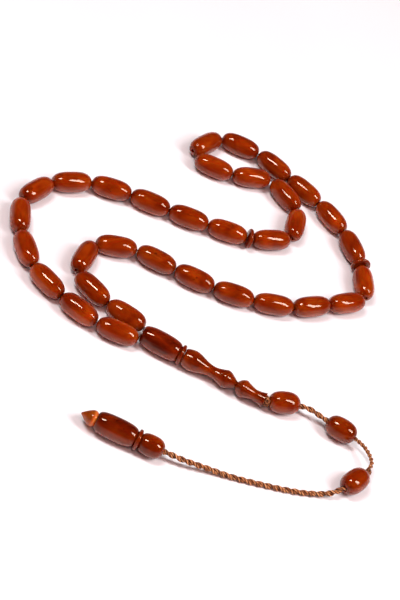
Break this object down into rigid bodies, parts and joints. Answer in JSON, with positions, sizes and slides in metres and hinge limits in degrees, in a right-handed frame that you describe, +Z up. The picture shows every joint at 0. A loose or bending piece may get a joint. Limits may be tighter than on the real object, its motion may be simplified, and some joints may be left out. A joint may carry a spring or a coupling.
{
  "type": "prayer beads",
  "caption": "Loop of glossy amber-red barrel beads with disc separators, a turned leader, and a braided tassel cord carrying oval beads and a pointed turned pendant.",
  "frame": {"origin": "on the surface that the beads lie on, below the centre of the box round the beads and turned pieces, the free cord and its knots not counted", "axes": "+Z up, +X along the leader from the loop towards the tassel (within one degree), +Y towards the far end of the loop"},
  "size_m": [0.1634, 0.173, 0.0088],
  "materials": {
    "amber_resin": "polished",
    "dark_resin": "polished",
    "clear_resin": "polished",
    "thread": "twisted",
    "cord": "braided with metallic strands"
  },
  "bodies": {
    "loop_thread": {"loop_thread": "thread"},
    "tassel": {"tassel_cord": "cord", "leader_knot": "cord", "small_knot": "cord", "pendant_finial": "clear_resin"},
    "bead_01": {"bead_01": "amber_resin"},
    "bead_02": {"bead_02": "amber_resin"},
    "bead_03": {"bead_03": "amber_resin"},
    "bead_04": {"bead_04": "amber_resin"},
    "bead_05": {"bead_05": "amber_resin"},
    "bead_06": {"bead_06": "amber_resin"},
    "bead_07": {"bead_07": "amber_resin"},
    "bead_08": {"bead_08": "amber_resin"},
    "bead_09": {"bead_09": "amber_resin"},
    "bead_10": {"bead_10": "amber_resin"},
    "bead_11": {"bead_11": "amber_resin"},
    "loop_disc_1": {"loop_disc_1": "amber_resin"},
    "bead_12": {"bead_12": "amber_resin"},
    "bead_13": {"bead_13": "amber_resin"},
    "bead_14": {"bead_14": "amber_resin"},
    "bead_15": {"bead_15": "amber_resin"},
    "bead_16": {"bead_16": "amber_resin"},
    "bead_17": {"bead_17": "amber_resin"},
    "bead_18": {"bead_18": "amber_resin"},
    "bead_19": {"bead_19": "amber_resin"},
    "bead_20": {"bead_20": "amber_resin"},
    "bead_21": {"bead_21": "amber_resin"},
    "bead_22": {"bead_22": "amber_resin"},
    "loop_disc_2": {"loop_disc_2": "amber_resin"},
    "bead_23": {"bead_23": "amber_resin"},
    "bead_24": {"bead_24": "amber_resin"},
    "bead_25": {"bead_25": "amber_resin"},
    "bead_26": {"bead_26": "amber_resin"},
    "bead_27": {"bead_27": "amber_resin"},
    "bead_28": {"bead_28": "amber_resin"},
    "bead_29": {"bead_29": "amber_resin"},
    "bead_30": {"bead_30": "amber_resin"},
    "bead_31": {"bead_31": "amber_resin"},
    "bead_32": {"bead_32": "amber_resin"},
    "bead_33": {"bead_33": "amber_resin"},
    "leader_barrel": {"leader_barrel": "dark_resin"},
    "leader_disc": {"leader_disc": "amber_resin"},
    "leader_vase": {"leader_vase": "amber_resin"},
    "leader_cup": {"leader_cup": "amber_resin"},
    "oval_1": {"oval_1": "amber_resin"},
    "oval_2": {"oval_2": "amber_resin"},
    "oval_3": {"oval_3": "amber_resin"},
    "pendant_bead": {"pendant_bead": "amber_resin"},
    "pendant_disc": {"pendant_disc": "amber_resin"},
    "pendant_barrel": {"pendant_barrel": "dark_resin"}
  },
  "joints": [
    {"name": "bead_01_spin", "type": "hinge", "parent": "loop_thread", "child": "bead_01", "pos_m": [-0.02341, -0.04056, 0.00405], "axis": [-0.9919, -0.127, 0], "continuous": true},
    {"name": "bead_02_spin", "type": "hinge", "parent": "loop_thread", "child": "bead_02", "pos_m": [-0.03944, -0.03984, 0.00405], "axis": [-0.9763, 0.2163, 0], "continuous": true},
    {"name": "bead_03_spin", "type": "hinge", "parent": "loop_thread", "child": "bead_03", "pos_m": [-0.05468, -0.03478, 0.00405], "axis": [-0.912, 0.4101, 0], "continuous": true},
    {"name": "bead_04_spin", "type": "hinge", "parent": "loop_thread", "child": "bead_04", "pos_m": [-0.06758, -0.02522, 0.00405], "axis": [-0.6563, 0.7545, 0], "continuous": true},
    {"name": "bead_05_spin", "type": "hinge", "parent": "loop_thread", "child": "bead_05", "pos_m": [-0.07607, -0.01163, 0.00405], "axis": [-0.391, 0.9204, 0], "continuous": true},
    {"name": "bead_06_spin", "type": "hinge", "parent": "loop_thread", "child": "bead_06", "pos_m": [-0.07631, 0.00416, 0.00405], "axis": [0.3622, 0.9321, 0], "continuous": true},
    {"name": "bead_07_spin", "type": "hinge", "parent": "loop_thread", "child": "bead_07", "pos_m": [-0.06686, 0.01708, 0.00405], "axis": [0.7791, 0.6269, 0], "continuous": true},
    {"name": "bead_08_spin", "type": "hinge", "parent": "loop_thread", "child": "bead_08", "pos_m": [-0.05262, 0.02442, 0.00405], "axis": [0.9624, 0.2715, 0], "continuous": true},
    {"name": "bead_09_spin", "type": "hinge", "parent": "loop_thread", "child": "bead_09", "pos_m": [-0.03698, 0.0277, 0.00405], "axis": [0.9904, 0.1379, 0], "continuous": true},
    {"name": "bead_10_spin", "type": "hinge", "parent": "loop_thread", "child": "bead_10", "pos_m": [-0.0212, 0.0303, 0.00405], "axis": [0.9824, 0.1865, 0], "continuous": true},
    {"name": "bead_11_spin", "type": "hinge", "parent": "loop_thread", "child": "bead_11", "pos_m": [-0.00552, 0.0337, 0.00405], "axis": [0.9716, 0.2367, 0], "continuous": true},
    {"name": "loop_disc_1_spin", "type": "hinge", "parent": "loop_thread", "child": "loop_disc_1", "pos_m": [0.00336, 0.03601, 0.00405], "axis": [0.9312, 0.3644, 0], "continuous": true},
    {"name": "bead_12_spin", "type": "hinge", "parent": "loop_thread", "child": "bead_12", "pos_m": [0.01114, 0.04124, 0.00405], "axis": [0.8098, 0.5868, 0], "continuous": true},
    {"name": "bead_13_spin", "type": "hinge", "parent": "loop_thread", "child": "bead_13", "pos_m": [0.01698, 0.05536, 0.00405], "axis": [-0.1589, 0.9873, 0], "continuous": true},
    {"name": "bead_14_spin", "type": "hinge", "parent": "loop_thread", "child": "bead_14", "pos_m": [0.00815, 0.06824, 0.00405], "axis": [-0.864, 0.5035, 0], "continuous": true},
    {"name": "bead_15_spin", "type": "hinge", "parent": "loop_thread", "child": "bead_15", "pos_m": [-0.0072, 0.06828, 0.00405], "axis": [-0.8672, -0.498, 0], "continuous": true},
    {"name": "bead_16_spin", "type": "hinge", "parent": "loop_thread", "child": "bead_16", "pos_m": [-0.02244, 0.06325, 0.00405], "axis": [-0.9932, -0.1163, 0], "continuous": true},
    {"name": "bead_17_spin", "type": "hinge", "parent": "loop_thread", "child": "bead_17", "pos_m": [-0.02972, 0.07314, 0.00405], "axis": [0.4092, 0.9124, 0], "continuous": true},
    {"name": "bead_18_spin", "type": "hinge", "parent": "loop_thread", "child": "bead_18", "pos_m": [-0.01731, 0.08224, 0.00405], "axis": [0.9931, 0.1175, 0], "continuous": true},
    {"name": "bead_19_spin", "type": "hinge", "parent": "loop_thread", "child": "bead_19", "pos_m": [-0.00135, 0.08092, 0.00405], "axis": [0.9603, -0.2788, 0], "continuous": true},
    {"name": "bead_20_spin", "type": "hinge", "parent": "loop_thread", "child": "bead_20", "pos_m": [0.01391, 0.07621, 0.00405], "axis": [0.9505, -0.3106, 0], "continuous": true},
    {"name": "bead_21_spin", "type": "hinge", "parent": "loop_thread", "child": "bead_21", "pos_m": [0.02858, 0.06961, 0.00405], "axis": [0.8629, -0.5054, 0], "continuous": true},
    {"name": "bead_22_spin", "type": "hinge", "parent": "loop_thread", "child": "bead_22", "pos_m": [0.04111, 0.05954, 0.00405], "axis": [0.6788, -0.7343, 0], "continuous": true},
    {"name": "loop_disc_2_spin", "type": "hinge", "parent": "loop_thread", "child": "loop_disc_2", "pos_m": [0.04723, 0.0524, 0.00405], "axis": [0.464, -0.8858, 0], "continuous": true},
    {"name": "bead_23_spin", "type": "hinge", "parent": "loop_thread", "child": "bead_23", "pos_m": [0.051, 0.04426, 0.00405], "axis": [0.4142, -0.9102, 0], "continuous": true},
    {"name": "bead_24_spin", "type": "hinge", "parent": "loop_thread", "child": "bead_24", "pos_m": [0.04816, 0.02952, 0.00405], "axis": [-0.7215, -0.6924, 0], "continuous": true},
    {"name": "bead_25_spin", "type": "hinge", "parent": "loop_thread", "child": "bead_25", "pos_m": [0.03645, 0.01865, 0.00405], "axis": [-0.7433, -0.669, 0], "continuous": true},
    {"name": "bead_26_spin", "type": "hinge", "parent": "loop_thread", "child": "bead_26", "pos_m": [0.02302, 0.00984, 0.00405], "axis": [-0.9099, -0.4147, 0], "continuous": true},
    {"name": "bead_27_spin", "type": "hinge", "parent": "loop_thread", "child": "bead_27", "pos_m": [0.00784, 0.0046, 0.00405], "axis": [-0.9719, -0.2352, 0], "continuous": true},
    {"name": "bead_28_spin", "type": "hinge", "parent": "loop_thread", "child": "bead_28", "pos_m": [-0.00803, 0.00215, 0.00405], "axis": [-0.9976, -0.0686, 0], "continuous": true},
    {"name": "bead_29_spin", "type": "hinge", "parent": "loop_thread", "child": "bead_29", "pos_m": [-0.02399, 0.00145, 0.00405], "axis": [-0.9998, -0.0185, 0], "continuous": true},
    {"name": "bead_30_spin", "type": "hinge", "parent": "loop_thread", "child": "bead_30", "pos_m": [-0.03958, -0.00222, 0.00405], "axis": [-0.9024, -0.4308, 0], "continuous": true},
    {"name": "bead_31_spin", "type": "hinge", "parent": "loop_thread", "child": "bead_31", "pos_m": [-0.0476, -0.01511, 0.00405], "axis": [0.011, -0.9999, 0], "continuous": true},
    {"name": "bead_32_spin", "type": "hinge", "parent": "loop_thread", "child": "bead_32", "pos_m": [-0.03909, -0.02759, 0.00405], "axis": [0.9277, -0.3734, 0], "continuous": true},
    {"name": "bead_33_spin", "type": "hinge", "parent": "loop_thread", "child": "bead_33", "pos_m": [-0.02353, -0.03144, 0.00405], "axis": [0.9947, -0.1031, 0], "continuous": true},
    {"name": "leader_barrel_spin", "type": "hinge", "parent": "loop_thread", "child": "leader_barrel", "pos_m": [-0.00735, -0.03603, 0.0044], "axis": [0.9998, -0.0175, 0], "continuous": true},
    {"name": "leader_disc_spin", "type": "hinge", "parent": "loop_thread", "child": "leader_disc", "pos_m": [0.0009, -0.03617, 0.0044], "axis": [0.9998, -0.0175, 0], "continuous": true},
    {"name": "leader_vase_spin", "type": "hinge", "parent": "loop_thread", "child": "leader_vase", "pos_m": [0.01129, -0.03635, 0.0044], "axis": [0.9998, -0.0175, 0], "continuous": true},
    {"name": "leader_cup_spin", "type": "hinge", "parent": "loop_thread", "child": "leader_cup", "pos_m": [0.02828, -0.03665, 0.0044], "axis": [0.9998, -0.0175, 0], "continuous": true},
    {"name": "tassel_swing", "type": "hinge", "parent": "loop_thread", "child": "tassel", "pos_m": [0.0356, -0.0368, 0.0044], "axis": [0, 0, 1], "range_deg": [-30, 20]},
    {"name": "oval_1_spin", "type": "hinge", "parent": "tassel", "child": "oval_1", "pos_m": [0.04219, -0.03322, 0.0044], "axis": [0.8786, 0.4775, 0], "continuous": true},
    {"name": "oval_2_spin", "type": "hinge", "parent": "tassel", "child": "oval_2", "pos_m": [0.06515, -0.03167, 0.00445], "axis": [0.9942, -0.1063, 0.0188], "continuous": true},
    {"name": "oval_3_spin", "type": "hinge", "parent": "tassel", "child": "oval_3", "pos_m": [0.07691, -0.05094, 0.0043], "axis": [-0.4203, -0.9061, -0.0491], "continuous": true},
    {"name": "pendant_bead_spin", "type": "hinge", "parent": "tassel", "child": "pendant_bead", "pos_m": [0.00671, -0.0813, 0.0044], "axis": [-0.9984, -0.0573, 0], "continuous": true},
    {"name": "pendant_disc_spin", "type": "hinge", "parent": "tassel", "child": "pendant_disc", "pos_m": [0.00137, -0.0816, 0.0044], "axis": [-0.9984, -0.0573, 0], "continuous": true},
    {"name": "pendant_barrel_spin", "type": "hinge", "parent": "tassel", "child": "pendant_barrel", "pos_m": [-0.00707, -0.08209, 0.0044], "axis": [-0.9984, -0.0573, 0], "continuous": true}
  ]
}
